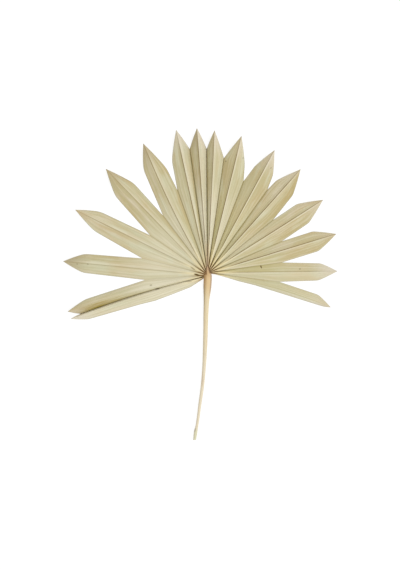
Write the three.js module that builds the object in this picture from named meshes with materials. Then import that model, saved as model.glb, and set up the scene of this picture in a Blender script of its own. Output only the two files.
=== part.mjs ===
import * as THREE from 'three';

// A dried fan palm leaf that lies on a surface with its back up, so that the midribs stand
// proud and the lines between the segments are valleys. Millimetres, +Z up, +X across the
// fan, +Y from the stalk's cut end towards the top of the fan. While it is built, the plan
// starts from the hub, where the stalk meets the blade.

// Blade: how thick it is, and the rib along the middle of each segment.
const BLADE_THICKNESS = 0.7;
const MOST_UPRIGHT_THICKNESS = 2.2;
const RIB_HALF_WIDTH = 1.1;
const RIB_HEIGHT = 1.0;
const PANEL_ARCH = 0.7;

// Blade: heights of its underside near the hub. The pleats grow outwards almost as fast as
// they widen, so they are a little steeper near the hub.
const HUB_HEIGHT = 2.6;
const HUB_PLEAT = 1.2;
const HUB_SHARE = 0.3;
const PLEAT_GROWTH = 0.8;
const ARCH_SHARE = 0.38;

// Blade: steps along every fold line, and where the lines across half a segment lie.
const ROWS = 16;
const MIDDLE_SHARE = 0.55;
const LEAST_CUT_ROWS = 2;

// The fold lines spring from the flanks of the tongue in which the stalk ends. These points
// are four fold lines apart, clockwise from the lower left margin to the lower right one.
const ROOT_POINTS = [
  [-7.1, -10],
  [-6.8, -4.6],
  [-6.1, -0.2],
  [-4, 3.8],
  [-0.5, 12.1],
  [2.9, 6],
  [4.9, 3],
  [6.1, 0.8],
  [6.7, -1.7],
];

// A segment's corner, where its edge turns into the slanting cut that runs to the tip: its
// distance from the midrib and how far it lies back from the tip.
function corner(half, back) {
  return { half, back };
}

// Segments, clockwise from the lower left: the tip's bearing in degrees anticlockwise from
// +X and its reach from the hub, the height of the fold, the height to which the free end
// springs up, the corners on the anticlockwise side (left) and the clockwise side (right),
// and the bow of a midrib that isn't straight. A side with no corner is cut from its slit.
const SEGMENTS = [
  { bearing: 198.5, reach: 231, fold: 7, lift: 2, left: corner(9, 26), right: null, bow: -3 },
  { bearing: 195.4, reach: 232, fold: 9, lift: 3, left: null, right: corner(12.5, 31), bow: -3 },
  { bearing: 175.4, reach: 232, fold: 5, lift: 3, left: corner(14, 32), right: corner(14, 32) },
  { bearing: 154.5, reach: 235, fold: 5, lift: 1, left: corner(18, 41), right: corner(14, 36) },
  { bearing: 134.4, reach: 233, fold: 7, lift: 2, left: corner(18.5, 41), right: corner(15.5, 46) },
  { bearing: 116.5, reach: 231, fold: 9, lift: 3, left: corner(18, 36), right: corner(15, 50), bow: 4 },
  { bearing: 102.5, reach: 234, fold: 11, lift: 1, left: corner(17, 45), right: null },
  { bearing: 94.3, reach: 231.5, fold: 14, lift: 0, left: null, right: null },
  { bearing: 87.3, reach: 227.5, fold: 15, lift: 0, left: null, right: null },
  { bearing: 76.2, reach: 225, fold: 13, lift: 1, left: null, right: corner(16, 41) },
  { bearing: 61.5, reach: 223, fold: 11, lift: 2, left: corner(15.5, 36), right: corner(17, 35) },
  { bearing: 48.2, reach: 222, fold: 10, lift: 3, left: corner(17, 38), right: corner(18.5, 38) },
  { bearing: 32.4, reach: 218, fold: 8, lift: 1, left: corner(16, 38), right: corner(19, 38) },
  { bearing: 16.9, reach: 214.5, fold: 7, lift: 2, left: corner(15, 34), right: corner(18, 34) },
  { bearing: 0.8, reach: 207, fold: 6, lift: 3, left: corner(13, 26), right: corner(14.5, 30) },
  { bearing: 344.4, reach: 204, fold: 6, lift: 2, left: corner(14, 24), right: corner(2, 14), bow: 4.4 },
];

// Slits between neighbouring segments: where each one ends on its way to the hub.
const SLITS = [
  { bearing: 197.8, reach: 214, bow: -3.5 },
  { bearing: 186.3, reach: 101.5 },
  { bearing: 167.4, reach: 108 },
  { bearing: 146.8, reach: 111 },
  { bearing: 127.9, reach: 117 },
  { bearing: 110.1, reach: 141.5 },
  { bearing: 98.3, reach: 201 },
  { bearing: 90.5, reach: 199 },
  { bearing: 82.0, reach: 186 },
  { bearing: 68.7, reach: 158 },
  { bearing: 54.4, reach: 164.5 },
  { bearing: 39.1, reach: 135 },
  { bearing: 23.2, reach: 129.5 },
  { bearing: 8.1, reach: 120.5 },
  { bearing: 353.0, reach: 116 },
];

// The outer margins of the first and last segments: places in plan between hub and corner.
// The first swells downwards; the last runs close under its midrib, as that half is steep.
const LOWER_LEFT_MARGIN = [[-22, -20], [-52, -31], [-108, -50]];
const LOWER_RIGHT_MARGIN = [[21, -4.8], [75.5, -18.5]];

// Stalk, from the tip of its tongue to the cut end: plan place, half width and height.
const STALK_STATIONS = [
  [-0.5, 11, 0.5, 5.6],
  [-0.5, 8.5, 1.5, 6.4],
  [-0.4, 5.5, 2.8, 7.2],
  [-0.2, 3, 3.9, 7.8],
  [-0.1, 0.5, 5.2, 8.0],
  [0.0, -2, 6.0, 8.0],
  [0.0, -9, 6.5, 8.0],
  [-0.5, -18, 6.5, 7.8],
  [-1.0, -28, 5.9, 7.4],
  [-2.0, -42, 4.6, 6.8],
  [-3.0, -67, 3.9, 6.2],
  [-3.5, -91, 3.6, 6.0],
  [-4.5, -123, 3.3, 5.6],
  [-6.2, -155, 2.8, 5.2],
  [-9.3, -187, 2.6, 4.9],
  [-12.3, -208, 2.4, 4.6],
  [-15.8, -235, 2.2, 4.3],
  [-17.6, -246, 2.2, 4.2],
  [-18.9, -252, 2.7, 4.6],
  [-21.0, -266.5, 2.2, 4.0],
];

// Stalk section, flat below and rounded above, as shares of the half width and the height.
const STALK_SECTION = [
  [0.82, 0],
  [1, 0.22],
  [0.96, 0.5],
  [0.78, 0.78],
  [0.45, 0.95],
  [0, 1],
  [-0.45, 0.95],
  [-0.78, 0.78],
  [-0.96, 0.5],
  [-1, 0.22],
  [-0.82, 0],
];

const smooth = (share) => THREE.MathUtils.smoothstep(share, 0, 1);

function polar({ bearing, reach }) {
  const angle = THREE.MathUtils.degToRad(bearing);
  return new THREE.Vector2(reach * Math.cos(angle), reach * Math.sin(angle));
}

const rootCurve = new THREE.CatmullRomCurve3(
  ROOT_POINTS.map(([x, y]) => new THREE.Vector3(x, y, 0)),
);

// Fold lines are counted clockwise: the lower left margin is 0, midribs are odd, valleys even.
function rootOf(foldLine) {
  const place = rootCurve.getPoint(foldLine / (2 * SEGMENTS.length));
  return new THREE.Vector2(place.x, place.y);
}

// Points in plan along a line that bends sideways by bow, one a row from first to last.
function bowedLine(start, end, bow, first, last) {
  const along = end.clone().sub(start).normalize();
  const sideways = new THREE.Vector2(-along.y, along.x);
  const points = [];
  for (let row = first; row <= last; row += 1) {
    const share = (row - first) / (last - first);
    const shift = bow * Math.sin(Math.PI * share);
    points.push(start.clone().lerp(end, share).addScaledVector(sideways, shift));
  }
  return points;
}

// Points in plan along straight stretches between stops, each stop a row number and a place.
function steppedLine(stops) {
  const points = [stops[0].place];
  for (let stop = 1; stop < stops.length; stop += 1) {
    const from = stops[stop - 1];
    const to = stops[stop];
    for (let row = from.row + 1; row <= to.row; row += 1) {
      points.push(from.place.clone().lerp(to.place, (row - from.row) / (to.row - from.row)));
    }
  }
  return points;
}

// A body made of a top and an underside that share their plan, so each vertex is a pair.
class Sheet {
  constructor() {
    this.positions = [];
    this.faces = [];
  }

  pair(plan, underside, thickness) {
    this.positions.push(plan.x, plan.y, underside + thickness, plan.x, plan.y, underside);
    return this.positions.length / 6 - 1;
  }

  triangle(a, b, c) {
    this.faces.push(2 * a, 2 * b, 2 * c);
    this.faces.push(2 * c + 1, 2 * b + 1, 2 * a + 1);
  }

  wall(a, b) {
    this.faces.push(2 * a, 2 * a + 1, 2 * b + 1);
    this.faces.push(2 * a, 2 * b + 1, 2 * b);
  }

  geometry() {
    const geometry = new THREE.BufferGeometry();
    geometry.setAttribute('position', new THREE.Float32BufferAttribute(this.positions, 3));
    geometry.setIndex(this.faces);
    return geometry;
  }
}

// Valleys: the row where each slit ends and the points from the hub to it.
function buildValleys() {
  return SLITS.map((slit, index) => {
    const reach = (SEGMENTS[index].reach + SEGMENTS[index + 1].reach) / 2;
    const row = Math.round((ROWS * slit.reach) / reach);
    const end = polar(slit);
    return { row, end, points: bowedLine(rootOf(2 * index + 2), end, slit.bow ?? 0, 0, row) };
  });
}

// The fan's outer margin: its root and the places that it passes, each at its nearest row.
function marginStops(foldLine, places, reach) {
  const stops = places.map(([x, y]) => {
    const place = new THREE.Vector2(x, y);
    return { row: Math.round((ROWS * place.length()) / reach), place };
  });
  return [{ row: 0, place: rootOf(foldLine) }, ...stops];
}

// One side of a segment: the row where its edge comes free, the row where its cut begins, and
// the edge's plan points, with the stretch along the valley taken from the valley itself.
function buildSide(segment, tip, along, sideways, valley, margin, cornerOfSide) {
  const stops = valley ? [{ row: valley.row, place: valley.end }] : margin;
  if (cornerOfSide) {
    const { half, back } = cornerOfSide;
    const cutRows = Math.max(LEAST_CUT_ROWS, Math.round((ROWS * back) / segment.reach));
    const place = tip.clone().addScaledVector(along, -back).addScaledVector(sideways, half);
    stops.push({ row: ROWS - cutRows, place });
  }
  const cutRow = stops[stops.length - 1].row;
  stops.push({ row: ROWS, place: tip });
  const fixed = valley ? valley.points.slice(0, -1) : [];
  return { freeRow: valley ? valley.row : 0, cutRow, points: [...fixed, ...steppedLine(stops)] };
}

// Heights of the underside along a segment's midrib, and how far its edge lies below that.
function ridgeProfile(segment, freeRow) {
  const profile = [];
  for (let row = 0; row <= ROWS; row += 1) {
    const share = row / ROWS;
    const rest = HUB_HEIGHT * (1 - smooth(share / HUB_SHARE));
    const drop = HUB_PLEAT + (segment.fold - HUB_PLEAT) * share ** PLEAT_GROWTH;
    const free = Math.max(0, (row - freeRow) / (ROWS - freeRow + 1));
    profile.push({ height: rest + drop + segment.lift * free * free, drop });
  }
  return profile;
}

function uprightThickness(slope) {
  return Math.min(BLADE_THICKNESS * Math.hypot(1, slope), MOST_UPRIGHT_THICKNESS);
}

function buildBlade() {
  const sheet = new Sheet();
  const valleys = buildValleys();

  const halves = SEGMENTS.map((segment, index) => {
    const root = rootOf(2 * index + 1);
    const tip = polar(segment);
    const along = tip.clone().sub(root).normalize();
    const turned = new THREE.Vector2(-along.y, along.x);
    const midrib = bowedLine(root, tip, segment.bow ?? 0, 0, ROWS);
    const left = buildSide(
      segment, tip, along, turned, valleys[index - 1],
      marginStops(0, LOWER_LEFT_MARGIN, segment.reach), segment.left,
    );
    const right = buildSide(
      segment, tip, along, turned.clone().negate(), valleys[index],
      marginStops(2 * SEGMENTS.length, LOWER_RIGHT_MARGIN, segment.reach), segment.right,
    );
    const profile = ridgeProfile(segment, Math.max(left.freeRow, right.freeRow));
    for (const side of [left, right]) {
      side.width = side.points.map((point, row) => point.distanceTo(midrib[row]));
      side.uncut = side.width.map((width, row) => (
        row > side.cutRow ? side.width[side.cutRow] : width
      ));
      side.slope = side.uncut.map((width, row) => profile[row].drop / width);
    }
    return { segment, midrib, left, right, profile };
  });

  // Vertices on the midribs, and on each valley as far as its slit.
  const midribPairs = halves.map(({ midrib, left, right, profile }) => (
    midrib.map((plan, row) => {
      const slope = (left.slope[row] + right.slope[row]) / 2;
      const rib = RIB_HEIGHT * (1 - 0.6 * smooth(row / ROWS));
      return sheet.pair(plan, profile[row].height, uprightThickness(slope) + rib);
    })
  ));
  const valleyPairs = valleys.map((valley, index) => (
    valley.points.map((plan, row) => {
      const before = halves[index];
      const after = halves[index + 1];
      const slope = (before.right.slope[row] + after.left.slope[row]) / 2;
      const rest = before.profile[row].height - before.profile[row].drop;
      return sheet.pair(plan, rest, uprightThickness(slope));
    })
  ));

  halves.forEach(({ midrib, left, right, profile }, index) => {
    const sides = [[left, valleyPairs[index - 1], true], [right, valleyPairs[index], false]];
    for (const [side, shared, isLeft] of sides) {
      const grid = midrib.map((centre, row) => {
        if (row === ROWS) {
          return [midribPairs[index][ROWS]];
        }
        const edge = side.points[row];
        const { height, drop } = profile[row];
        const thickness = uprightThickness(side.slope[row]);
        const fall = (drop * side.width[row]) / side.uncut[row];
        const arch = PANEL_ARCH * smooth(row / ROWS / ARCH_SHARE);
        const ribShare = Math.min(RIB_HALF_WIDTH / side.width[row], MIDDLE_SHARE / 2);
        const inner = sheet.pair(centre.clone().lerp(edge, ribShare), height - fall * ribShare,
          thickness);
        const middle = sheet.pair(centre.clone().lerp(edge, MIDDLE_SHARE),
          height - fall * MIDDLE_SHARE + arch, thickness);
        const outer = shared && row <= side.freeRow
          ? shared[row]
          : sheet.pair(edge, height - fall, thickness);
        return [midribPairs[index][row], inner, middle, outer];
      });

      for (let row = 0; row < ROWS; row += 1) {
        const here = grid[row];
        const next = grid[row + 1];
        for (let column = 0; column < here.length - 1; column += 1) {
          const near = next[Math.min(column, next.length - 1)];
          const far = next[Math.min(column + 1, next.length - 1)];
          const corners = [here[column], here[column + 1], far, near];
          const [a, b, c, d] = isLeft ? [corners[1], corners[0], corners[3], corners[2]] : corners;
          if (near === far) {
            sheet.triangle(a, b, c);
          } else if (isLeft) {
            sheet.triangle(b, c, d);
            sheet.triangle(b, d, a);
          } else {
            sheet.triangle(a, b, c);
            sheet.triangle(a, c, d);
          }
          if (row === 0) {
            sheet.wall(a, b);
          }
        }
        if (row >= side.freeRow) {
          const from = here[here.length - 1];
          const to = next[next.length - 1];
          if (isLeft) {
            sheet.wall(to, from);
          } else {
            sheet.wall(from, to);
          }
        }
      }
    }
  });
  return sheet.geometry();
}

// The stalk: sections set square to its route, closed at both ends.
function buildStalk() {
  const positions = [];
  const faces = [];
  const count = STALK_SECTION.length;
  STALK_STATIONS.forEach(([x, y, half, height], index) => {
    const [beforeX, beforeY] = STALK_STATIONS[Math.max(index - 1, 0)];
    const [afterX, afterY] = STALK_STATIONS[Math.min(index + 1, STALK_STATIONS.length - 1)];
    const along = new THREE.Vector2(afterX - beforeX, afterY - beforeY).normalize();
    const across = new THREE.Vector2(-along.y, along.x);
    for (const [side, rise] of STALK_SECTION) {
      positions.push(x + across.x * half * side, y + across.y * half * side, height * rise);
    }
  });
  for (let station = 0; station < STALK_STATIONS.length - 1; station += 1) {
    for (let point = 0; point < count; point += 1) {
      const a = station * count + point;
      const b = station * count + ((point + 1) % count);
      faces.push(a, b, b + count, a, b + count, a + count);
    }
  }
  const lastRing = (STALK_STATIONS.length - 1) * count;
  for (let point = 1; point < count - 1; point += 1) {
    faces.push(0, point + 1, point);
    faces.push(lastRing, lastRing + point, lastRing + point + 1);
  }
  const geometry = new THREE.BufferGeometry();
  geometry.setAttribute('position', new THREE.Float32BufferAttribute(positions, 3));
  geometry.setIndex(faces);
  return geometry;
}

const bladeMaterial = new THREE.MeshStandardMaterial({
  color: 0xc8bc90, roughness: 0.75, metalness: 0, side: THREE.DoubleSide,
});
const stalkMaterial = new THREE.MeshStandardMaterial({
  color: 0xdcc493, roughness: 0.6, metalness: 0,
});

const blade = new THREE.Mesh(buildBlade(), bladeMaterial);
blade.name = 'blade';

const stalk = new THREE.Mesh(buildStalk(), stalkMaterial);
stalk.name = 'stalk';

// The leaf's origin is the middle of its outline, on the surface that it lies on.
const leaf = new THREE.Group();
leaf.add(blade, stalk);
const outline = new THREE.Box3().setFromObject(leaf);
const middle = outline.getCenter(new THREE.Vector3());
leaf.position.set(-middle.x, -middle.y, -outline.min.z);

export default leaf;
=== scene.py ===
"""A dried fan palm leaf that lies back side up on a pale floor, seen from straight above."""

import math

import bmesh
import bpy
import numpy as np
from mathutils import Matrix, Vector


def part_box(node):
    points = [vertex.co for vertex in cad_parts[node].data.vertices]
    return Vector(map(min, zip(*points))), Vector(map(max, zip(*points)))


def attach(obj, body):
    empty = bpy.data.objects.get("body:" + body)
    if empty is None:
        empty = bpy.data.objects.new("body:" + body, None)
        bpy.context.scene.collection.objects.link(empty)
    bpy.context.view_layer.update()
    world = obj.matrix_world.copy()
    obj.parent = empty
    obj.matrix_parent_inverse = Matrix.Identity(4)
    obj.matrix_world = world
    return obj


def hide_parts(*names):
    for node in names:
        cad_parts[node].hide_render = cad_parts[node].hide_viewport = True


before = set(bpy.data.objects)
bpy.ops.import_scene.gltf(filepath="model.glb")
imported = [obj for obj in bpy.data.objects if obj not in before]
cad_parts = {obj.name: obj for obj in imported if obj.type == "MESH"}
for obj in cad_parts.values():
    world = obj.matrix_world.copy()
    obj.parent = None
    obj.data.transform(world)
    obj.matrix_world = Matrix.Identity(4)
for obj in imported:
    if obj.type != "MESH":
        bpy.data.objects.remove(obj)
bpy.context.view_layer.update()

# Plan sizes are in millimetres from the hub, where the stalk meets the blade.
MM = 0.001

# Blade: how fine its surface is, its thickness, and the rib along the middle of each segment.
ROWS = 96
COLUMNS = 12
RIB_COLUMNS = 4
SHEET_THICKNESS = 0.5
RIB_HALF_WIDTH = 1.1
RIB_HEIGHT = 0.9
WIDEST_RIB_SHARE = 0.3

# Blade: heights of its underside near the hub. The pleats grow outwards almost as fast as
# they widen, so they are a little steeper near the hub.
HUB_HEIGHT = 2.6
HUB_PLEAT = 1.2
HUB_SHARE = 0.3
PLEAT_GROWTH = 0.8
ARCH_SHARE = 0.38

# Blade: the shape across half a segment. The sweep makes it steep beside rib and valley, the
# furrows are a few random waves, and narrower halves than the full form's width are flatter.
PANEL_ARCH = 0.5
PANEL_SWEEP = 0.05
FURROW_DRAWS = 16
FURROW_HEIGHT = 0.16
FURROW_WAVES = 3
FURROWS_ACROSS = (1.6, 4.2)
FULL_FORM_WIDTH = 8
SMALLEST_WIDTH = 0.01

# Blade: a soft segment's pleat starts lower, ribs get lower outwards, the cuts to the tips
# bow out a little, and below the end of a slit a margin comes free within two rows.
SOFT_START = 0.6
RIB_TAPER = 0.6
CUT_BOW = 0.5
FREE_ROWS = 2

# Points nearer than this are made one, and folds sharper than this many degrees stay sharp.
WELD_DISTANCE = 0.005
FOLD_ANGLE = 50

# The fold lines spring from the flanks of the tongue in which the stalk ends. These points
# are four fold lines apart, clockwise from the lower left margin to the lower right one, and
# the lines start a little further in, towards the tongue's middle.
ROOT_INSET = 1.7
ROOT_CENTRE = (-0.4, 1)
ROOT_POINTS = [
    (-7.1, -10),
    (-6.8, -4.6),
    (-6.1, -0.2),
    (-4, 3.8),
    (-0.5, 12.1),
    (2.9, 6),
    (4.9, 3),
    (6.1, 0.8),
    (6.7, -1.7),
]
LINES_BETWEEN_ROOT_POINTS = 4


def segment(bearing, reach, fold, lift, left=None, right=None, bow=0, shoulder=2,
            rib=1.0, crest=1.0, soft=0.1, tan=0.3, warmth=(0.2, 0.0), pale=(0.0, 0.0),
            end=(0.0, 0.0)):
    """A segment: its tip's bearing and reach, the height of its fold, how far its end springs
    up, the corner on each side as distance from the midrib and back from the tip, the bow of
    its midrib, how rounded its shoulders are, how strong its rib is, how round the fold's
    crest is (1 is sharp), how far the pleat is a wave and not a fold, how far it has turned
    tan, how golden its left and right half are (below 0 they are paler), and how much paler
    each of them is near the hub (below 0 it is yellower) and at its end (below 0 browner).
    The gold and paleness of each half are partly its tissue's tone and partly light and shade
    painted on that half; the yellower tone near the hub is painted shade."""
    return dict(bearing=bearing, reach=reach, fold=fold, lift=lift, left=left, right=right,
                bow=bow, shoulder=shoulder, rib=rib, crest=crest, soft=soft, tan=tan,
                warmth=warmth, pale=pale, end=end)


# Clockwise from the lower left one.
SEGMENTS = [
    segment(198.5, 231, 5.5, 2, left=(9, 26), bow=-3, rib=0.1, soft=0.4, tan=0.2,
            warmth=(-0.7, -1.8), pale=(0.6, 1.1), end=(0.6, 0.05)),
    segment(195.4, 232, 9, 3, right=(12, 31), bow=-3, shoulder=4, rib=0, crest=1.7, tan=0.3,
            warmth=(2.0, 0.4), pale=(0.5, 0.7), end=(0.35, -0.1)),
    segment(175.4, 232, 5, 3, left=(15.2, 32), right=(15.2, 32), shoulder=6, rib=0.5, soft=0.8,
            tan=0.5, warmth=(0.0, 0.65), pale=(0.4, 0.4), end=(-0.35, -0.5)),
    segment(154.5, 235, 5, 1, left=(17, 41), right=(15, 36), shoulder=8, rib=0.5, soft=0.7,
            tan=0.6, warmth=(0.15, 0.25), pale=(0.3, 0.25)),
    segment(134.4, 233, 7, 2, left=(19.3, 41), right=(16.4, 46), shoulder=8, rib=0.5, soft=0.5,
            tan=0.5, warmth=(0.65, 0.7), pale=(0.3, 0), end=(-0.2, -0.35)),
    segment(116.5, 231, 9, 3, left=(18, 36), right=(16.2, 50), bow=4, shoulder=10, rib=0.8,
            soft=0.3, tan=0.5, warmth=(0.7, 0.75), pale=(0.6, -0.2), end=(-0.3, -0.35)),
    segment(102.5, 234, 11, 1, left=(17, 45), shoulder=8, tan=0.3, warmth=(0.45, -0.1),
            pale=(0.1, -0.3), end=(0.35, 0.45)),
    segment(94.3, 231.5, 14, 0, tan=0.5, warmth=(0.7, -0.9), pale=(1.3, 0.8), end=(-0.4, 0.35)),
    segment(87.3, 227.5, 15, 0, tan=0.3, warmth=(0.7, 0.4), pale=(0.5, 0.8), end=(-0.1, 0.5)),
    segment(76.2, 225, 13, 1, right=(16, 41), shoulder=6, tan=0.35, warmth=(0.7, 0.45),
            pale=(-0.5, 0.45), end=(0.1, 0.35)),
    segment(61.5, 223, 11, 2, left=(15.5, 36), right=(17, 35), tan=0.4, warmth=(0.7, 0.8),
            pale=(-0.4, -0.3), end=(0.3, 0.5)),
    segment(48.2, 222, 10, 3, left=(17, 38), right=(18.5, 38), tan=0.5, warmth=(0.7, 1.2),
            pale=(-0.3, 0), end=(0.3, -0.05)),
    segment(32.4, 218, 8, 1, left=(17, 38), right=(19, 38), tan=0.45, warmth=(0.35, 1.0),
            pale=(0.1, -0.2), end=(0.05, 0.3)),
    segment(16.9, 214.5, 7, 2, left=(15, 34), right=(18, 34), soft=0.2, tan=0.45,
            warmth=(0.55, 0.75), pale=(-0.1, -0.2), end=(0.15, -0.05)),
    segment(0.8, 207, 6, 3, left=(13, 26), right=(14.5, 30), rib=0.6, soft=0.4, tan=0.35,
            warmth=(0.4, -0.1), pale=(-0.5, 0), end=(0.6, 0.4)),
    segment(344.4, 204, 6, 2, left=(14, 24), right=(2, 14), bow=4.4, rib=0, crest=1.5,
            soft=0.5, tan=0.3, warmth=(0.1, -1.3), pale=(-0.2, 0), end=(0.2, 0.2)),
]

# Slits between neighbouring segments: bearing and reach of the end of each, its bow, and how
# dark the painted shade in the valley below it is at the hub, halfway and at its end.
SLITS = [
    (197.8, 214, -3.5, (1.0, 0.3, 0.6)),
    (186.3, 101.5, 0, (0.6, 0.15, 0.15)),
    (167.4, 108, 0, (0.8, 0.25, 0.2)),
    (146.8, 111, 0, (0.9, 0.4, 0.3)),
    (127.9, 117, 0, (0.9, 0.55, 0.4)),
    (110.1, 141.5, 0, (1.0, 0.7, 0.5)),
    (98.3, 201, 0, (1.4, 0.9, 0.7)),
    (90.5, 199, 0, (0.3, 0.7, 0.85)),
    (82.0, 186, 0, (1.4, 0.75, 0.6)),
    (68.7, 158, 0, (1.2, 0.6, 0.5)),
    (54.4, 164.5, 0, (1.4, 0.65, 0.5)),
    (39.1, 135, 0, (0.9, 0.5, 0.4)),
    (23.2, 129.5, 0, (0.8, 0.5, 0.4)),
    (8.1, 120.5, 0, (0.8, 0.4, 0.3)),
    (353.0, 116, 0, (0.6, 0.2, 0.2)),
]
DARK_SHARES = (0, 0.22, 0.5)

# Scars and spots on the blade, as ovals: place, half length and half width, bearing, and
# strength.
SCARS = [
    (85.5, 9.8, 3.4, 1.3, 110, 0.9),
    (147.5, 6.4, 2.2, 1.6, 0, 0.45),
    (-91, -19.5, 2.6, 1.5, 10, 0.45),
    (-209, 14.4, 1.8, 1.2, 0, 0.4),
    (-192, 14.2, 1.6, 1.3, 0, 0.45),
    (29, 179, 1.8, 1.2, 90, 0.55),
    (56.5, 184, 1.8, 1.0, 80, 0.45),
    (101, 168, 2.2, 1.0, 45, 0.4),
    (-81, -25.2, 5.5, 1.6, 190, 0.7),
    (-17.4, -2.7, 5.6, 1.6, 166, 1.5),
    (-9.6, -6.6, 4.4, 1.6, 200, 1.0),
    (-24, 7.4, 6.5, 1.5, 145, 0.5),
    (-30, -13.6, 6.0, 1.2, 186, 0.4),
]

# In the same way, pale patches, the pinkish fibres that run on above the stalk's tongue, and
# the lowest part of these fibres.
PALE_PATCHES = [
    (-44.5, -3.4, 4.6, 3.4, 0, 0.8),
    (-60.5, 21, 10, 6, 125, 0.5),
    (-70, 108, 26, 5, 115, 0.5),
    (-48, 82, 34, 4, 117, 0.5),
    (-57, 205, 20, 5, 113, 0.6),
    (-172, 4, 22, 8, 180, 0.3),
]
PINK_PATCHES = [
    (-0.4, 31, 24, 3.4, 90, 0.7),
]
LOW_PINK_PATCHES = [
    (-0.9, 16, 13, 2.3, 90, 0.75),
]

# The outer margins of the first and last segments: places between the hub and the corner.
LOWER_LEFT_MARGIN = [(-27.7, -22.7), (-56.5, -34), (-85, -44.6), (-108, -50.2)]
LOWER_RIGHT_MARGIN = [(11, -2), (23.5, -5.2), (49, -13), (75.5, -19.6)]

# Stalk, from the tip of its tongue to the cut end: plan place, half width and height.
STALK_STATIONS = [
    (-0.5, 11, 0.5, 5.6),
    (-0.5, 8.5, 1.5, 6.4),
    (-0.4, 5.5, 2.8, 7.2),
    (-0.2, 3, 3.9, 7.8),
    (-0.1, 0.5, 5.2, 8.0),
    (0.0, -2, 6.0, 8.0),
    (0.0, -9, 6.5, 8.0),
    (-0.5, -18, 6.5, 7.8),
    (-1.0, -28, 5.9, 7.4),
    (-2.0, -42, 4.6, 6.8),
    (-3.0, -67, 3.9, 6.2),
    (-3.5, -91, 3.6, 6.0),
    (-4.5, -123, 3.3, 5.6),
    (-6.2, -155, 2.8, 5.2),
    (-9.3, -187, 2.6, 4.9),
    (-12.3, -208, 2.4, 4.6),
    (-15.8, -235, 2.2, 4.3),
    (-17.6, -246, 2.2, 4.2),
    (-18.9, -252, 2.7, 4.6),
    (-21.1, -267.5, 2.2, 4.0),
]
STALK_SIDES = 48
STALK_STEP = 2.5

# The tongue is a slim raised strip between sunken flanks, down to the stalk's shoulders,
# of which the left one is the lower.
TONGUE_STEP = 0.7
TONGUE_END = -12
SHOULDER_Y = (-3.6, -1)
SHOULDER_LENGTH = 2.5
STRIP_HALF_WIDTH = 1.28
FLANK_WIDTH = 1.1
FLANK_FALL = 0.45

# Stalk: its section is widest at a share of its height, with a flat underside and a rounded
# top. Shallow furrows run along it, as a share of its half width.
WIDEST_HEIGHT = 0.3
SIDE_POWER = 0.8
TOP_POWER = 0.9
UNDERSIDE_STEEPNESS = 1.6
FURROWS_ROUND = 11
STALK_FURROW = 0.018

# The stalk's cut end is closed in two steps: how much each shrinks and how deep it goes.
CUT_END_STEPS = ((0.85, 0), (0.7, 0.6))

# Studio, in metres. White light is how bright the light makes white paper, and the view's
# length is what the photo's longer side covers.
WHITE_LIGHT = 1.13
SKY_STRENGTH = 0.9
LIGHT_POWER = 16
LIGHT_BEARING = -8
LIGHT_ELEVATION = 50
LIGHT_DISTANCE = 2.2
LIGHT_SIZE = 1.3
FLOOR_ALBEDO = 0.3
FLOOR_GLOW = 0.75
FLOOR_SIZE = 30
FLOOR_LEVEL = -0.0002
VIEW_X = -0.000344
VIEW_Y = -0.001217
VIEW_LENGTH = 0.912
LENS = 85
SENSOR = 36
LEAF_MIDDLE = 0.006
CAMERA_REACH = 20

# Finish: depth of the veins and fibres in metres, and how shiny and rough things are.
VEIN_DEPTH = 0.0004
BLADE_SHINE = 0.2
STALK_SHINE = 0.4
FLOOR_ROUGHNESS = 0.9

# Colours of the dry leaf and of the light and shade painted on it, as seen in daylight.
SAGE = (214, 209, 174)
STRAW = (224, 214, 178)
PALE = (236, 229, 204)
OLIVE = (178, 167, 118)
VALLEY_SHADE = (164, 144, 0)
HUB_BROWN = (192, 154, 82)
GOLDEN = (178, 155, 90)
SHADED_HALF_YELLOW = (192, 180, 112)
TAN = (203, 180, 137)
BROWN = (126, 98, 58)
RUST = (130, 86, 42)
ROOT_BROWN = (122, 72, 22)
CREASE_SHADE = (78, 56, 0)
STRIP_MAUVE = (204, 184, 152)
SCAR_BROWN = (94, 70, 14)
MINT = (218, 219, 190)
MAUVE = (226, 213, 190)
COOL_GREY = (158, 152, 130)
GREY_BROWN = (140, 126, 100)
PALE_TIP = (232, 225, 210)
DULL_TIP = (160, 146, 112)
HIGHLIGHT_YELLOW = (250, 233, 182)
STALK_GOLD = (226, 196, 146)
STALK_STRAW = (230, 213, 174)
STALK_CREAM = (232, 219, 190)
STALK_GREEN = (222, 220, 186)
STALK_OLIVE = (164, 142, 104)
STALK_PINK = (190, 156, 126)
STALK_RUST = (190, 148, 98)
STALK_SHADE_BROWN = (160, 128, 82)
STALK_MAUVE = (186, 158, 126)


# Plan of the blade
def smooth(share):
    share = np.clip(share, 0, 1)
    return share * share * (3 - 2 * share)


def polar(bearing, reach):
    angle = math.radians(bearing)
    return np.array([reach * math.cos(angle), reach * math.sin(angle)])


def root_of(fold_line):
    """Where a fold line starts, on a smooth curve through the root points."""
    points = np.array(ROOT_POINTS, float)
    before = 2 * points[0] - points[1]
    after = 2 * points[-1] - points[-2]
    points = np.vstack([before, points, after])
    span = min(fold_line // LINES_BETWEEN_ROOT_POINTS, len(ROOT_POINTS) - 2)
    share = fold_line / LINES_BETWEEN_ROOT_POINTS - span
    p0, p1, p2, p3 = points[span:span + 4]
    d0, d1, d2 = (math.sqrt(np.linalg.norm(b - a)) for a, b in ((p0, p1), (p1, p2), (p2, p3)))
    m1 = d1 * ((p1 - p0) / d0 - (p2 - p0) / (d0 + d1) + (p2 - p1) / d1)
    m2 = d1 * ((p2 - p1) / d1 - (p3 - p1) / (d1 + d2) + (p3 - p2) / d2)
    square = share * share
    cube = square * share
    place = (p1 + m1 * share + (3 * (p2 - p1) - 2 * m1 - m2) * square
             + (2 * (p1 - p2) + m1 + m2) * cube)
    inward = np.array(ROOT_CENTRE) - place
    return place + inward * ROOT_INSET / np.linalg.norm(inward)


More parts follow.
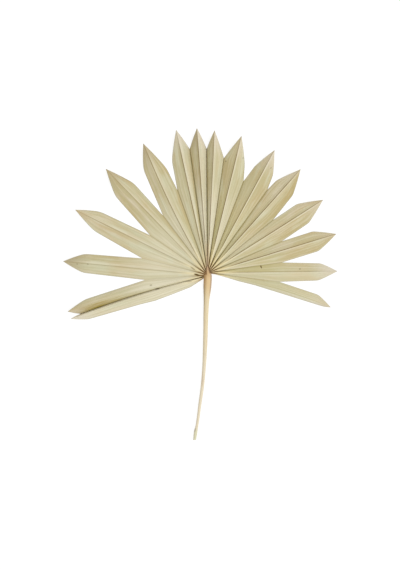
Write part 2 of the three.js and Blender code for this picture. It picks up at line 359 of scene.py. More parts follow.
def bowed_line(start, end, bow, rows):
    """Points from start to end, one a row, that bend sideways by bow in the middle."""
    along = (end - start) / np.linalg.norm(end - start)
    sideways = np.array([-along[1], along[0]])
    share = np.linspace(0, 1, rows + 1)[:, None]
    return start + (end - start) * share + sideways * bow * np.sin(np.pi * share)


def stepped_line(stops):
    """Points along straight stretches between stops, each a row number and a place."""
    rows = np.arange(stops[0][0], stops[-1][0] + 1)
    stop_rows = [row for row, place in stops]
    places = np.array([place for row, place in stops])
    return np.column_stack([np.interp(rows, stop_rows, places[:, axis]) for axis in (0, 1)])


def round_off(points, middle, passes):
    """Rounds a bend in a line of points by easing those near it towards their neighbours."""
    first = max(middle - passes // 2 - 2, 1)
    last = min(middle + passes // 2 + 2, len(points) - 2)
    for _ in range(passes):
        eased = (points[first - 1:last] + 2 * points[first:last + 1]
                 + points[first + 1:last + 2]) / 4
        points[first:last + 1] = eased
    return points


def valleys():
    """For each slit, the row where it ends and the points from the hub to there."""
    found = []
    for index, (bearing, reach, bow, dark) in enumerate(SLITS):
        mean_reach = (SEGMENTS[index]["reach"] + SEGMENTS[index + 1]["reach"]) / 2
        row = round(ROWS * reach / mean_reach)
        points = bowed_line(root_of(2 * index + 2), polar(bearing, reach), bow, row)
        shares = np.arange(ROWS + 1) / row
        found.append({"row": row, "points": points, "dark": np.interp(shares, DARK_SHARES, dark)})
    return found


def margin_stops(fold_line, places, reach):
    stops = [(round(ROWS * math.hypot(*place) / reach), np.array(place)) for place in places]
    return [(0, root_of(fold_line))] + stops


def side_edge(seg, tip, along, sideways, valley, margin, corner):
    """The edge of half a segment, one point a row, with the row where it comes free and the
    row where the slanting cut to the tip begins."""
    stops = [(valley["row"], valley["points"][-1])] if valley else list(margin)
    if corner:
        half, back = corner
        cut_rows = round(ROWS * back / seg["reach"])
        stops.append((ROWS - cut_rows, tip - back * along + half * sideways))
    cut_row = stops[-1][0]
    cut_start = stops[-1][1]
    stops.append((ROWS, tip))
    points = stepped_line(stops)
    first_row = stops[0][0]

    cut = tip - cut_start
    outward = np.array([-cut[1], cut[0]]) / np.linalg.norm(cut)
    outward *= np.sign(outward @ sideways)
    share = np.linspace(0, 1, ROWS - cut_row + 1)[:, None]
    points[cut_row - first_row:] += outward * CUT_BOW * np.sin(np.pi * share)
    if corner:
        points = round_off(points, cut_row - first_row, seg["shoulder"])
    fixed = valley["points"][:-1] if valley else np.empty((0, 2))
    return {"free_row": valley["row"] if valley else 0, "cut_row": cut_row,
            "points": np.vstack([fixed, points]),
            "dark": valley["dark"] if valley else np.zeros(ROWS + 1)}


def ridge_profile(seg, free_row):
    """Height of the underside along a midrib, and how far the edges lie below it."""
    rows = np.arange(ROWS + 1)
    share = rows / ROWS
    rest = HUB_HEIGHT * (1 - smooth(share / HUB_SHARE))
    start = HUB_PLEAT * (1 - SOFT_START * seg["soft"])
    drop = start + (seg["fold"] - start) * share ** PLEAT_GROWTH
    free = np.maximum(0, (rows - free_row) / (ROWS - free_row + 1))
    return rest + drop + seg["lift"] * free ** 2, drop


# Surface of the blade
def widths(midrib, side):
    """Widths of half a segment, as it is and as it would be with no cut to the tip."""
    width = np.linalg.norm(side["points"] - midrib, axis=1)
    cut = np.arange(ROWS + 1) > side["cut_row"]
    return width, np.where(cut, width[side["cut_row"]], width)


def half_surface(seg, number, sign, midrib, side, height, drop, rib, draws):
    """Places of one half of a segment, rows by columns, and what the finish needs there."""
    edge = side["points"]
    width, uncut = widths(midrib, side)
    fall = drop * width / uncut
    share = np.arange(ROWS + 1) / ROWS
    pleat = smooth(share / ARCH_SHARE)

    rib_share = np.minimum(RIB_HALF_WIDTH / np.maximum(width, SMALLEST_WIDTH), WIDEST_RIB_SHARE)
    step = np.arange(COLUMNS + 1)
    on_rib = np.clip(step / RIB_COLUMNS, 0, 1)
    beside = np.clip((step - RIB_COLUMNS) / (COLUMNS - RIB_COLUMNS), 0, 1)
    across = rib_share[:, None] * on_rib + (1 - rib_share[:, None]) * beside

    plan = midrib[:, None] * (1 - across[..., None]) + edge[:, None] * across[..., None]
    rib_form = rib[:, None] * (1 - smooth(on_rib))
    arch = PANEL_ARCH * pleat[:, None] * np.sin(np.pi * across)
    sweep = PANEL_SWEEP * (1 - seg["soft"]) * fall[:, None] * np.sin(2 * np.pi * across)
    furrows = np.zeros_like(across)
    for _ in range(FURROW_WAVES):
        waves = draws.uniform(*FURROWS_ACROSS)
        start = draws.uniform(0, 1)
        drift = draws.uniform(-1, 1)
        furrows += np.sin(2 * np.pi * (waves * across + start + drift * share[:, None]))
    furrows *= FURROW_HEIGHT / FURROW_WAVES * pleat[:, None] * np.sin(np.pi * across) ** 0.5
    narrow = np.minimum(1, width / FULL_FORM_WIDTH)[:, None]
    soft = seg["soft"] * pleat[:, None]
    slope_form = ((1 - soft) * across ** (1 + (seg["crest"] - 1) * pleat[:, None])
                  + soft * (1 - np.cos(np.pi * across)) / 2)
    z = height[:, None] - fall[:, None] * slope_form + (arch + furrows) * narrow - sweep
    z = np.maximum(z, 0) + rib_form + SHEET_THICKNESS

    even = np.ones_like(across)
    along = share[:, None] * seg["reach"] * even
    past_slit = (np.arange(ROWS + 1) - side["free_row"])[:, None] * even
    finish = {
        "along": along * MM,
        "across": sign * across,
        "from_rib": sign * across * width[:, None] * MM,
        "from_edge": (1 - across) * width[:, None] * MM,
        "width": width[:, None] * MM * even,
        "free": np.clip(past_slit / FREE_ROWS, 0, 1),
        "from_tip": (seg["reach"] - along) * MM,
        "segment": number * even,
        "tan": seg["tan"] * even,
        "rib": seg["rib"] * even,
        "dark": side["dark"][:, None] * even,
        "warmth": seg["warmth"][max(sign, 0)] * even,
        "pale": seg["pale"][max(sign, 0)] * even,
        "end": seg["end"][max(sign, 0)] * even,
    }
    return plan, z, finish


def add_half(name, plan, z, finish):
    """A grid primitive with a vertex for each place, moved there, with its finish values."""
    bpy.ops.mesh.primitive_grid_add(x_subdivisions=COLUMNS, y_subdivisions=ROWS, size=1)
    half = bpy.context.object
    half.name = name
    mesh = half.data
    flat = np.empty(len(mesh.vertices) * 3)
    mesh.vertices.foreach_get("co", flat)
    grid = flat.reshape(-1, 3)
    column = np.rint((grid[:, 0] + 0.5) * COLUMNS).astype(int)
    row = np.rint((grid[:, 1] + 0.5) * ROWS).astype(int)
    places = np.column_stack([plan[row, column], z[row, column]]) * MM
    places[:, :2] += hub
    mesh.vertices.foreach_set("co", places.ravel())
    corner_vertex = np.empty(len(mesh.loops), int)
    mesh.loops.foreach_get("vertex_index", corner_vertex)
    for key, values in finish.items():
        attribute = mesh.attributes.new(key, "FLOAT", "CORNER")
        at_vertex = values[row, column]
        attribute.data.foreach_set("value", at_vertex[corner_vertex].astype(np.float32))
    return half


def deselect_all():
    bpy.ops.object.select_all(action="DESELECT")


def edit_whole(piece):
    deselect_all()
    piece.select_set(True)
    bpy.context.view_layer.objects.active = piece
    bpy.ops.object.mode_set(mode="EDIT")
    bpy.ops.mesh.select_all(action="SELECT")


def finish_mesh(piece):
    """Turns faces out and smooths all but the sharp folds. On a thin shell, the operator that
    makes normals consistent can choose the wrong side, which gives a volume below 0."""
    bpy.ops.mesh.normals_make_consistent(inside=False)
    if bmesh.from_edit_mesh(piece.data).calc_volume(signed=True) < 0:
        bpy.ops.mesh.flip_normals()
    bpy.ops.object.mode_set(mode="OBJECT")
    bpy.ops.object.shade_smooth_by_angle(angle=math.radians(FOLD_ANGLE))
    deselect_all()


def make_blade():
    draws = np.random.default_rng(FURROW_DRAWS)
    slits = valleys()
    halves = []
    for index, seg in enumerate(SEGMENTS):
        root = root_of(2 * index + 1)
        tip = polar(seg["bearing"], seg["reach"])
        along = (tip - root) / np.linalg.norm(tip - root)
        turned = np.array([-along[1], along[0]])
        midrib = bowed_line(root, tip, seg["bow"], ROWS)
        left = side_edge(seg, tip, along, turned, slits[index - 1] if index else None,
                         margin_stops(0, LOWER_LEFT_MARGIN, seg["reach"]), seg["left"])
        right = side_edge(seg, tip, along, -turned, slits[index] if index < len(SLITS) else None,
                          margin_stops(2 * len(SEGMENTS), LOWER_RIGHT_MARGIN, seg["reach"]),
                          seg["right"])
        height, drop = ridge_profile(seg, max(left["free_row"], right["free_row"]))
        mean_width = (widths(midrib, left)[1] + widths(midrib, right)[1]) / 2
        taper = 1 - RIB_TAPER * smooth(np.arange(ROWS + 1) / ROWS)
        rib = seg["rib"] * RIB_HEIGHT * taper * np.minimum(1, mean_width / FULL_FORM_WIDTH)
        for sign, side in ((-1, left), (1, right)):
            surface = half_surface(seg, index, sign, midrib, side, height, drop, rib, draws)
            halves.append(add_half(f"half_{index}_{sign}", *surface))
    deselect_all()
    for half in halves:
        half.select_set(True)
    blade = halves[0]
    bpy.context.view_layer.objects.active = blade
    bpy.ops.object.join()
    blade.name = "pleated_blade"
    blade.data.name = "pleated_blade"
    edit_whole(blade)
    bpy.ops.mesh.remove_doubles(threshold=WELD_DISTANCE * MM)
    bpy.ops.mesh.extrude_region_move(
        TRANSFORM_OT_translate={"value": (0, 0, -SHEET_THICKNESS * MM)})
    bpy.ops.mesh.select_all(action="SELECT")
    finish_mesh(blade)
    return blade


# Stalk
def hermite(at, stops, values, slopes):
    """A smooth curve through values at stops, read at the places at."""
    span = np.clip(np.searchsorted(stops, at, side="right") - 1, 0, len(stops) - 2)
    length = stops[span + 1] - stops[span]
    share = (at - stops[span]) / length
    square = share ** 2
    cube = share ** 3
    return ((2 * cube - 3 * square + 1) * values[span] + (3 * square - 2 * cube) * values[span + 1]
            + (cube - 2 * square + share) * length * slopes[span]
            + (cube - square) * length * slopes[span + 1])


def stalk_route():
    """Plan place, half width and height of the stalk at each ring, from tongue to cut end."""
    table = np.array(STALK_STATIONS, float)
    start, end = table[0, 1], table[-1, 1]
    tongue = np.arange(start, TONGUE_END, -TONGUE_STEP)
    count = round((TONGUE_END - end) / STALK_STEP)
    y = np.concatenate([tongue, np.linspace(TONGUE_END, end, count + 1)])
    down = -table[:, 1]
    x, half, height = (hermite(-y, down, table[:, column], np.gradient(table[:, column], down))
                       for column in (0, 2, 3))
    return np.column_stack([x, y, half, height])


def stalk_section(half, height):
    """A section that is flat below and rounded above: side and rise of each point."""
    angle = 2 * np.pi * np.arange(STALK_SIDES) / STALK_SIDES
    upper = np.sin(angle) > 0
    furrow = 1 + STALK_FURROW * np.cos(FURROWS_ROUND * angle) * upper
    side = np.sign(np.cos(angle)) * np.abs(np.cos(angle)) ** SIDE_POWER
    level = np.abs(np.sin(angle))
    above = WIDEST_HEIGHT + (1 - WIDEST_HEIGHT) * level ** TOP_POWER * furrow
    below = WIDEST_HEIGHT * (1 - np.minimum(1, UNDERSIDE_STEEPNESS * level))
    rise = np.where(upper, above, below)
    return half * side, height * rise


def shape_tongue(stalk, route):
    """Sinks the flanks beside the tongue's strip, and marks each corner for the finish."""
    mesh = stalk.data
    flat = np.empty(len(mesh.vertices) * 3)
    mesh.vertices.foreach_get("co", flat)
    places = flat.reshape(-1, 3)
    y = (places[:, 1] - hub[1]) / MM
    rising = route[::-1]
    middle, half = (np.interp(y, rising[:, 1], rising[:, column]) for column in (0, 2))
    side = (places[:, 0] - hub[0]) / MM - middle
    upwards = smooth((y - np.where(side < 0, *SHOULDER_Y)) / SHOULDER_LENGTH)
    flank = smooth((np.abs(side) - STRIP_HALF_WIDTH) / FLANK_WIDTH) * upwards
    places[:, 2] *= 1 - FLANK_FALL * flank
    mesh.vertices.foreach_set("co", places.ravel())
    corner_vertex = np.empty(len(mesh.loops), int)
    mesh.loops.foreach_get("vertex_index", corner_vertex)
    marks = {"across": side / half, "up": y * MM, "flank": flank}
    for key, values in marks.items():
        attribute = mesh.attributes.new(key, "FLOAT", "CORNER")
        attribute.data.foreach_set("value", values[corner_vertex].astype(np.float32))


def make_stalk():
    """A rounded section drawn out along the stalk's route, then closed at its cut end."""
    route = stalk_route()
    x, y, half, height = route[0]
    bpy.ops.mesh.primitive_circle_add(vertices=STALK_SIDES, radius=1, fill_type="NGON")
    stalk = bpy.context.object
    stalk.name = "tapering_stalk"
    stalk.data.name = "tapering_stalk"
    sides, rises = stalk_section(half, height)
    for vertex, side, rise in zip(stalk.data.vertices, sides, rises):
        vertex.co = Vector(((x + side) * MM + hub[0], y * MM + hub[1], rise * MM))
    edit_whole(stalk)
    for (x0, y0, half0, height0), (x1, y1, half1, height1) in zip(route, route[1:]):
        bpy.ops.mesh.extrude_region_move(
            TRANSFORM_OT_translate={"value": ((x1 - x0) * MM, (y1 - y0) * MM, 0)})
        bpy.ops.transform.resize(
            value=(half1 / half0, 1, height1 / height0),
            center_override=(x1 * MM + hub[0], y1 * MM + hub[1], 0))
    centre = (x1 * MM + hub[0], y1 * MM + hub[1], height1 / 2 * MM)
    for shrink, depth in CUT_END_STEPS:
        bpy.ops.mesh.extrude_region_move(TRANSFORM_OT_translate={"value": (0, depth * MM, 0)})
        bpy.ops.transform.resize(value=(shrink, 1, shrink), center_override=centre)
    bpy.ops.mesh.select_all(action="SELECT")
    finish_mesh(stalk)
    shape_tongue(stalk, route)
    return stalk


# Finish
def daylight(colour):
    """A colour seen in daylight, 0 to 255, as the share of light that the leaf sends back."""
    return tuple(((c / 255 + 0.055) / 1.055) ** 2.4 / WHITE_LIGHT for c in colour) + (1,)


class Value:
    """A socket of a material on which Python's operators add nodes."""

    def __init__(self, paint, socket):
        self.paint = paint
        self.socket = socket

    def math(self, operation, *others):
        inputs = dict(enumerate((self,) + others))
        return self.paint.node("ShaderNodeMath", {"operation": operation}, inputs)

    def __add__(self, other):
        return self.math("ADD", other)

    __radd__ = __add__

    def __mul__(self, other):
        return self.math("MULTIPLY", other)

    __rmul__ = __mul__

    def __sub__(self, other):
        return self.math("SUBTRACT", other)

    def __rsub__(self, other):
        return self.paint.node("ShaderNodeMath", {"operation": "SUBTRACT"}, {0: other, 1: self})

    def __abs__(self):
        return self.math("ABSOLUTE")

    def most(self, other):
        return self.math("MAXIMUM", other)

    def least(self, other):
        return self.math("MINIMUM", other)

    def rise(self, low, high):
        """0 below low, 1 above high and smooth between; high below low turns it round."""
        return self.paint.node(
            "ShaderNodeMapRange", {"interpolation_type": "SMOOTHSTEP"},
            {"Value": self, "From Min": low, "From Max": high, "To Min": 0, "To Max": 1})


class Paint:
    """A material and the nodes that are added to it."""

    def __init__(self, name):
        self.material = bpy.data.materials.new(name)
        self.material.use_nodes = True
        self.tree = self.material.node_tree
        self.tree.nodes.clear()

    def node(self, kind, settings=None, inputs=None, output=0):
        node = self.tree.nodes.new(kind)
        for name, value in (settings or {}).items():
            setattr(node, name, value)
        for name, value in (inputs or {}).items():
            socket = node.inputs[name]
            if isinstance(value, Value):
                self.tree.links.new(value.socket, socket)
            else:
                socket.default_value = value
        return Value(self, node.outputs[output])

    def attribute(self, name):
        return self.node("ShaderNodeAttribute", {"attribute_name": name}, output="Fac")

    def vector(self, x, y, z):
        return self.node("ShaderNodeCombineXYZ", None, {"X": x, "Y": y, "Z": z})

    def noise(self, vector, scale, detail=2, roughness=0.5):
        return self.node("ShaderNodeTexNoise", None, {
            "Vector": vector, "Scale": scale, "Detail": detail, "Roughness": roughness})

    def mix(self, share, first, second):
        """From the first colour at a share of 0, or below, to the second at 1, or above."""
        return self.node(
            "ShaderNodeMix", {"data_type": "RGBA"},
            {"Factor": share, 6: first, 7: second}, output=2)

    def tint(self, colour, share, shade):
        """Turns a colour towards a shade that is given as seen in daylight."""
        return self.mix(share, colour, daylight(shade))

    def surface(self, inputs):
        shader = self.node("ShaderNodeBsdfPrincipled", None, inputs)
        output = self.tree.nodes.new("ShaderNodeOutputMaterial")
        self.tree.links.new(shader.socket, output.inputs["Surface"])
        return self.material

    def finish(self, colour, roughness, height, shine):
        normal = self.node("ShaderNodeBump", None, {
            "Height": height, "Distance": VEIN_DEPTH, "Strength": 1.0})
        return self.surface({"Base Color": colour, "Roughness": roughness, "Normal": normal,
                             "Specular IOR Level": shine})


def oval_marks(paint, ovals, soft_from):
    """How strongly a table of ovals marks the blade, full within soft_from of the middle."""
    place = paint.node("ShaderNodeTexCoord", None, None, output="Object")
    x = paint.node("ShaderNodeSeparateXYZ", None, {"Vector": place}, output="X")
    y = paint.node("ShaderNodeSeparateXYZ", None, {"Vector": place}, output="Y")
    marks = None
    for oval_x, oval_y, half_length, half_width, bearing, strength in ovals:
        along = polar(bearing, 1)
        from_x = x - (oval_x * MM + hub[0])
        from_y = y - (oval_y * MM + hub[1])
        lengthwise = (from_x * along[0] + from_y * along[1]) * (1 / (half_length * MM))
        sideways = (from_y * along[0] - from_x * along[1]) * (1 / (half_width * MM))
        mark = (lengthwise * lengthwise + sideways * sideways).rise(1, soft_from) * strength
        marks = mark if marks is None else marks.most(mark)
    return marks


class BladeMarks:
    """What the blade's attributes and the noises on it say, for the parts of its finish."""

    def __init__(self, paint):
        self.along = along = paint.attribute("along")
        self.from_rib = paint.attribute("from_rib")
        self.from_edge = paint.attribute("from_edge")
        self.from_tip = paint.attribute("from_tip")
        self.width = paint.attribute("width")
        self.free = paint.attribute("free")
        self.number = number = paint.attribute("segment")
        self.tan = paint.attribute("tan")
        self.rib = paint.attribute("rib")
        self.dark = paint.attribute("dark")
        self.warmth = paint.attribute("warmth")
        self.pale = paint.attribute("pale")
        self.end = paint.attribute("end")
        self.right_half = self.from_rib.rise(-0.1 * MM, 0.1 * MM)
        self.leaf_right = number.rise(6.4, 6.6)

        # Blotches a few centimetres long, and streaks and veins that run outwards.
        across = paint.attribute("across")
        self.blotch = paint.noise(paint.vector(along * 16, across * 1.2, number * 7.3), 1.0, 3)
        self.patch = paint.noise(
            paint.vector(along * 20, across * 1.8, number * 4.1 + 20), 1.0, 2)
        self.streak = paint.noise(
            paint.vector(along * 7, across * 7, number * 3.7), 1.0, 3, 0.6)
        self.vein = paint.noise(paint.vector(along * 10, across * 34, number * 5.1), 1.0, 2, 0.7)
        self.speck = paint.noise(paint.vector(along * 260, across * 12, number * 2.9), 1.0, 2)

        # Near the hub, and the crest of each pleat there.
        self.near_hub = along.rise(55 * MM, 12 * MM)
        self.crest = (self.from_rib * self.from_rib).rise(0.3 * self.width * self.width, 0)


def ground_colour(paint, leaf):
    """Sage to straw, tan outwards, with each half segment's gold and paleness, partly tissue and
    partly painted light and shade.
    """
    along = leaf.along
    colour = paint.mix(leaf.blotch.rise(0.36, 0.66), daylight(SAGE), daylight(STRAW))
    outward = 0.3 + 0.7 * along.rise(60 * MM, 190 * MM)
    tan_spread = leaf.streak.rise(0.4, 0.7) * 0.6 + leaf.blotch.rise(0.42, 0.66)
    colour = paint.tint(colour, tan_spread * leaf.tan * outward, TAN)

    # The gold starts later in the two lowest segments on the left and the two topmost ones.
    number = leaf.number
    late = number.rise(6.4, 6.6) * number.rise(8.6, 8.4) + number.rise(1.6, 1.4)
    start = (late * 60 + 10) * MM
    past_hub = along.rise(start, start + 140 * MM)
    # Each half's gold, and below 0 its paleness: partly its tissue and partly light and shade
    # painted on that half.
    colour = paint.tint(colour, leaf.warmth * past_hub * (0.35 + 0.35 * leaf.blotch), GOLDEN)
    colour = paint.tint(colour, leaf.warmth * along.rise(40 * MM, 190 * MM) * -0.6, PALE)

    colour = paint.tint(colour, leaf.patch.rise(0.5, 0.68) * 0.5, MINT)
    colour = paint.tint(colour, leaf.patch.rise(0.46, 0.3) * 0.45, MAUVE)
    colour = paint.tint(colour, oval_marks(paint, PALE_PATCHES, 0), MINT)
    # Each half's paleness near the hub, partly tissue and partly painted light; below 0 it is
    # painted shade that turns a shaded half yellower.
    inner = along.rise(150 * MM, 80 * MM)
    colour = paint.tint(colour, leaf.pale * inner, PALE)
    colour = paint.tint(colour, leaf.pale * inner * -1, SHADED_HALF_YELLOW)

    colour = paint.tint(colour, leaf.streak.rise(0.56, 0.32) * 0.32, OLIVE)
    colour = paint.tint(colour, leaf.streak.rise(0.5, 0.68) * 0.4, PALE)
    colour = paint.tint(colour, leaf.vein.rise(0.6, 0.35) * 0.25, OLIVE)
    return paint.tint(colour, leaf.speck.rise(0.7, 0.8) * 0.25, BROWN)


def fold_colour(paint, leaf, colour):
    """Beside each fold: a painted highlight on the right of a midrib and painted shade, browner,
    on its left, and before the next valley a painted highlight on the right of the leaf and golden
    on its left."""
    from_rib = leaf.from_rib
    from_edge = leaf.from_edge
    leaf_left = leaf.number.rise(2.5, 4.5) * (1 - leaf.leaf_right)
    band_reach = (7 - 4 * leaf.leaf_right) * MM
    # Painted highlight on the right of each midrib, the side of its rib that faces the light.
    rib_highlight = from_rib.rise(0.4 * MM, 1.0 * MM) * from_rib.rise(band_reach, 1.5 * MM)
    # Before the next valley: a painted highlight on the right of the leaf, a golden band on its
    # left.
    valley_band = from_edge.rise(0.6 * MM, 1.2 * MM) * from_edge.rise(4.0 * MM, 1.8 * MM)
    valley_band = valley_band * leaf.right_half * (1 - leaf.free)
    valley_band = valley_band * leaf.along.rise(10 * MM, 50 * MM) * leaf.dark
    highlight_band = (rib_highlight * leaf.rib).most(valley_band * leaf.leaf_right)
    colour = paint.tint(colour, highlight_band * (0.6 - 0.1 * leaf.leaf_right), PALE)
    colour = paint.tint(colour, valley_band * leaf_left * 0.5, GOLDEN)
    # Painted shade, olive, on the left of each midrib, the side of its rib away from the light.
    to_left = -1 * from_rib
    rib_shade = to_left.rise(0.1 * MM, 0.6 * MM) * to_left.rise(5 * MM, 1 * MM)
    rib_shade = rib_shade * leaf.width.rise(4 * MM, 11 * MM).most(leaf.number.rise(8.4, 8.6))
    colour = paint.tint(colour, rib_shade * 0.3 * leaf.rib, OLIVE)

    # Near the hub the crests get a painted highlight, pale yellow.
    crest_highlight = leaf.crest * leaf.near_hub * (0.6 + 0.3 * leaf.leaf_right)
    colour = paint.tint(colour, crest_highlight, HIGHLIGHT_YELLOW)

    # Midribs: a thin brown line that comes and goes, set a little left of each rib: partly the
    # rib's own darker brown and partly painted shade on its side away from the light.
    reach = (leaf.width * 0.2).least(0.75 * MM)
    line = abs(from_rib + 0.2 * MM).rise(reach, reach * 0.3)
    line = line * (0.55 + 0.45 * leaf.streak.rise(0.35, 0.6)) * leaf.rib
    return paint.tint(colour, line * leaf.along.rise(20 * MM, 50 * MM), BROWN)


def valley_colour(paint, leaf, colour):
    """Painted shade in the valleys, darkest towards the hub and on the left half of the next
    segment, with a thin line of painted shade in each crease. The first one, below a segment
    that leans over it, has a broad painted shadow."""
    number = leaf.number
    along = leaf.along
    joined = 1 - leaf.free
    # Painted shadow cast by the lowest segment on the left half of the one above it, broader and
    # darker outwards.
    leaning_shadow = number.rise(0.6, 0.9) * number.rise(1.4, 1.1) * (1 - leaf.right_half)
    far = along.rise(110 * MM, 190 * MM)
    shade_reach = (leaf.width * 0.7).least((leaning_shadow * (3 + 7 * far) + 2.2) * MM)
    shade = leaf.dark.most(leaning_shadow * (0.35 + 0.6 * far))
    shade = leaf.from_edge.rise(shade_reach, 0) * joined * shade
    colour = paint.tint(colour, shade * (0.66 - 0.4 * leaf.right_half), VALLEY_SHADE)
    # A thin dark line of painted shade in each valley's crease.
    line_share = 0.3 + 0.3 * along.rise(35 * MM, 10 * MM)
    line_reach = (leaf.width * line_share).least(0.95 * MM)
    line = leaf.from_edge.rise(line_reach, line_reach * 0.3) * joined * leaf.dark
    return paint.tint(colour, line * (0.75 + 0.35 * leaf.near_hub), CREASE_SHADE)


def end_colour(paint, leaf, colour):
    """Free margins are greyer, and tips tan, paler or browner, with a brown point."""
    from_tip = leaf.from_tip
    margin_line = leaf.from_edge.rise(0.9 * MM, 0.1 * MM) * leaf.free
    colour = paint.tint(colour, margin_line * 0.75, COOL_GREY)
    tan_tip = from_tip.rise(34 * MM, 6 * MM) * (0.1 + 0.6 * leaf.streak)
    colour = paint.tint(colour, tan_tip, TAN)
    last_part = from_tip.rise(48 * MM, 8 * MM)
    colour = paint.tint(colour, leaf.end * last_part, PALE_TIP)
    colour = paint.tint(colour, leaf.end * last_part * -1, DULL_TIP)
    return paint.tint(colour, from_tip.rise(3 * MM, 0.5 * MM) * 0.6, BROWN)


def root_colour(paint, leaf, colour):
    """The roots of the pleats are rusty brown, the crests only at their very ends, partly the
    tissue's colour and partly painted shade in the grooves beside the crests. The lowest
    pinkish fibres lie over them."""
    along = leaf.along
    # Rust and painted shade in the grooves at the roots of the pleats.
    beside_crest = along.rise(15 * MM, 3 * MM) * (1 - leaf.crest)
    root = beside_crest.most(along.rise(4 * MM, 1 * MM) * 0.7)
    colour = paint.tint(colour, root * (0.4 + 0.8 * leaf.streak), ROOT_BROWN)
    return paint.tint(colour, oval_marks(paint, LOW_PINK_PATCHES, 0.2), STRIP_MAUVE)


def blade_finish():
    paint = Paint("dried_pleated_blade")
    leaf = BladeMarks(paint)
    colour = ground_colour(paint, leaf)
    colour = fold_colour(paint, leaf, colour)

    # Close to the hub all turns golden brown, but for the pinkish fibres above the tongue.
    hub_brown = leaf.along.rise(30 * MM, 6 * MM) * (1 - leaf.crest)
    colour = paint.tint(colour, hub_brown * 0.5, HUB_BROWN)
    colour = paint.tint(colour, oval_marks(paint, PINK_PATCHES, 0.3), STRIP_MAUVE)

    colour = valley_colour(paint, leaf, colour)
    colour = end_colour(paint, leaf, colour)
    colour = root_colour(paint, leaf, colour)
    scars = oval_marks(paint, SCARS, 0.1)
    colour = paint.tint(colour, scars * (0.6 + 0.8 * leaf.speck), SCAR_BROWN)
    roughness = 0.55 + 0.2 * leaf.streak
    height = leaf.vein * 0.7 + leaf.streak * 0.3
    return paint.finish(colour, roughness, height, BLADE_SHINE)


def stalk_finish():
    paint = Paint("dried_golden_stalk")
    across = paint.attribute("across")
    up = paint.attribute("up")
    flank = paint.attribute("flank")
    fibre = paint.noise(paint.vector(across * 5, up * 14, 0.5), 1.0, 3, 0.65)
    blotch = paint.noise(paint.vector(across * 0.9, up * 38, 4.5), 1.0, 2)

    # Golden at the blade, then straw, cream and at last green towards the cut end.
    colour = paint.mix(up.rise(-15 * MM, -50 * MM), daylight(STALK_GOLD), daylight(STALK_STRAW))
    colour = paint.tint(colour, up.rise(-80 * MM, -160 * MM), STALK_CREAM)
    colour = paint.tint(colour, up.rise(-246 * MM, -256 * MM), STALK_GREEN)
    colour = paint.tint(colour, blotch.rise(0.5, 0.75) * 0.35, STALK_PINK)
    colour = paint.tint(colour, fibre.rise(0.5, 0.3) * 0.35, STALK_OLIVE)

    # Browner at its shoulders, with painted shade along the left side, the side away from the
    # light, and a brown strip at the right.
    colour = paint.tint(colour, up.rise(-13 * MM, 0) * 0.45, STALK_RUST)
    # Painted shade along the left side: olive lower down, brown near the top.
    left_reach = 0.4 * up.rise(-70 * MM, -20 * MM) - 0.5
    left_shade = across.rise(left_reach, -0.95) * (0.4 + 0.6 * up.rise(-110 * MM, -20 * MM))
    left_shade_tone = paint.mix(
        up.rise(-30 * MM, -6 * MM), daylight(STALK_OLIVE), daylight(STALK_SHADE_BROWN))
    colour = paint.mix(left_shade * 0.95, colour, left_shade_tone)
    left_flush = across.rise(0, -0.6) * up.rise(-30 * MM, -12 * MM)
    colour = paint.tint(colour, left_flush * 0.4, STALK_RUST)
    right_side = across.rise(0.52, 0.7) * up.rise(-42 * MM, -22 * MM)
    colour = paint.tint(colour, right_side * 0.95, STALK_MAUVE)
    swelling = abs(up + 251.5 * MM).rise(4 * MM, 1 * MM) * across.rise(0.1, -0.5)
    colour = paint.tint(colour, swelling * 0.5, GREY_BROWN)

    # The sunken flanks of the tongue are brown with lighter fibres, pinker on the right: partly
    # rust tissue and partly painted shade where they sink.
    colour = paint.tint(colour, flank * (1.2 - fibre), RUST)
    colour = paint.tint(colour, flank * across.rise(0, 0.4) * 0.4, STALK_PINK)
    colour = paint.tint(colour, up.rise(1 * MM, 6 * MM) * (1 - flank) * 0.6, STALK_PINK)
    return paint.finish(colour, 0.5 + 0.2 * fibre, fibre, STALK_SHINE)


def floor_finish():
    paint = Paint("white_paper_floor")
    return paint.surface({
        "Base Color": (FLOOR_ALBEDO, FLOOR_ALBEDO, FLOOR_ALBEDO, 1),
        "Roughness": FLOOR_ROUGHNESS,
        "Specular IOR Level": 0.0,
        "Emission Color": (1, 1, 1, 1),
        "Emission Strength": FLOOR_GLOW,
    })


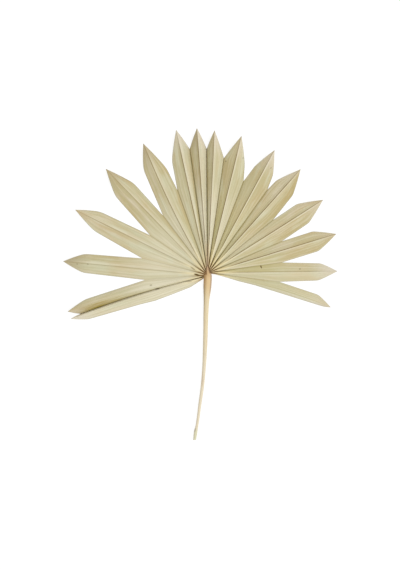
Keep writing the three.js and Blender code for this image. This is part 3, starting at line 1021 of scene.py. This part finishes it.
# Studio
def make_floor():
    bpy.ops.mesh.primitive_plane_add(size=FLOOR_SIZE, location=(0, 0, FLOOR_LEVEL))
    floor = bpy.context.object
    floor.name = "floor"
    floor.data.materials.append(floor_finish())
    deselect_all()


def make_light():
    world = bpy.data.worlds.new("studio")
    bpy.context.scene.world = world
    world.use_nodes = True
    background = world.node_tree.nodes["Background"]
    background.inputs["Color"].default_value = (1, 1, 1, 1)
    background.inputs["Strength"].default_value = SKY_STRENGTH
    bearing = math.radians(LIGHT_BEARING)
    elevation = math.radians(LIGHT_ELEVATION)
    place = LIGHT_DISTANCE * Vector((
        math.cos(bearing) * math.cos(elevation),
        math.sin(bearing) * math.cos(elevation),
        math.sin(elevation),
    ))
    bpy.ops.object.light_add(type="AREA", location=place)
    light = bpy.context.object
    light.name = "soft_light"
    light.data.shape = "SQUARE"
    light.data.size = LIGHT_SIZE
    light.data.energy = LIGHT_POWER
    light.rotation_euler = (-place).to_track_quat("-Z", "Y").to_euler()
    deselect_all()


def make_camera():
    """Straight above, as high as the view's length needs to fill the frame's longer side."""
    bpy.ops.object.camera_add(location=(VIEW_X, VIEW_Y, 0), rotation=(0, 0, 0))
    camera = bpy.context.object
    camera.name = "camera"
    camera.data.lens = LENS
    camera.data.sensor_width = SENSOR
    camera.location.z = VIEW_LENGTH * LENS / SENSOR + LEAF_MIDDLE
    camera.data.clip_end = CAMERA_REACH
    bpy.context.scene.camera = camera
    deselect_all()


# Where the hub lies: the blade's box reaches its right and top tips.
tips = np.array([polar(seg["bearing"], seg["reach"]) for seg in SEGMENTS])
blade_low, blade_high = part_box("blade")
hub = np.array([blade_high.x, blade_high.y]) - tips.max(axis=0) * MM

deselect_all()
blade = make_blade()
blade.data.materials.clear()
blade.data.materials.append(blade_finish())
stalk = make_stalk()
stalk.data.materials.append(stalk_finish())
for piece, node, slot in ((blade, "blade", "dried_blade"), (stalk, "stalk", "dried_stalk")):
    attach(piece, "root")
    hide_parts(node)

make_floor()
make_light()
make_camera()
bpy.context.scene.view_settings.view_transform = "Standard"
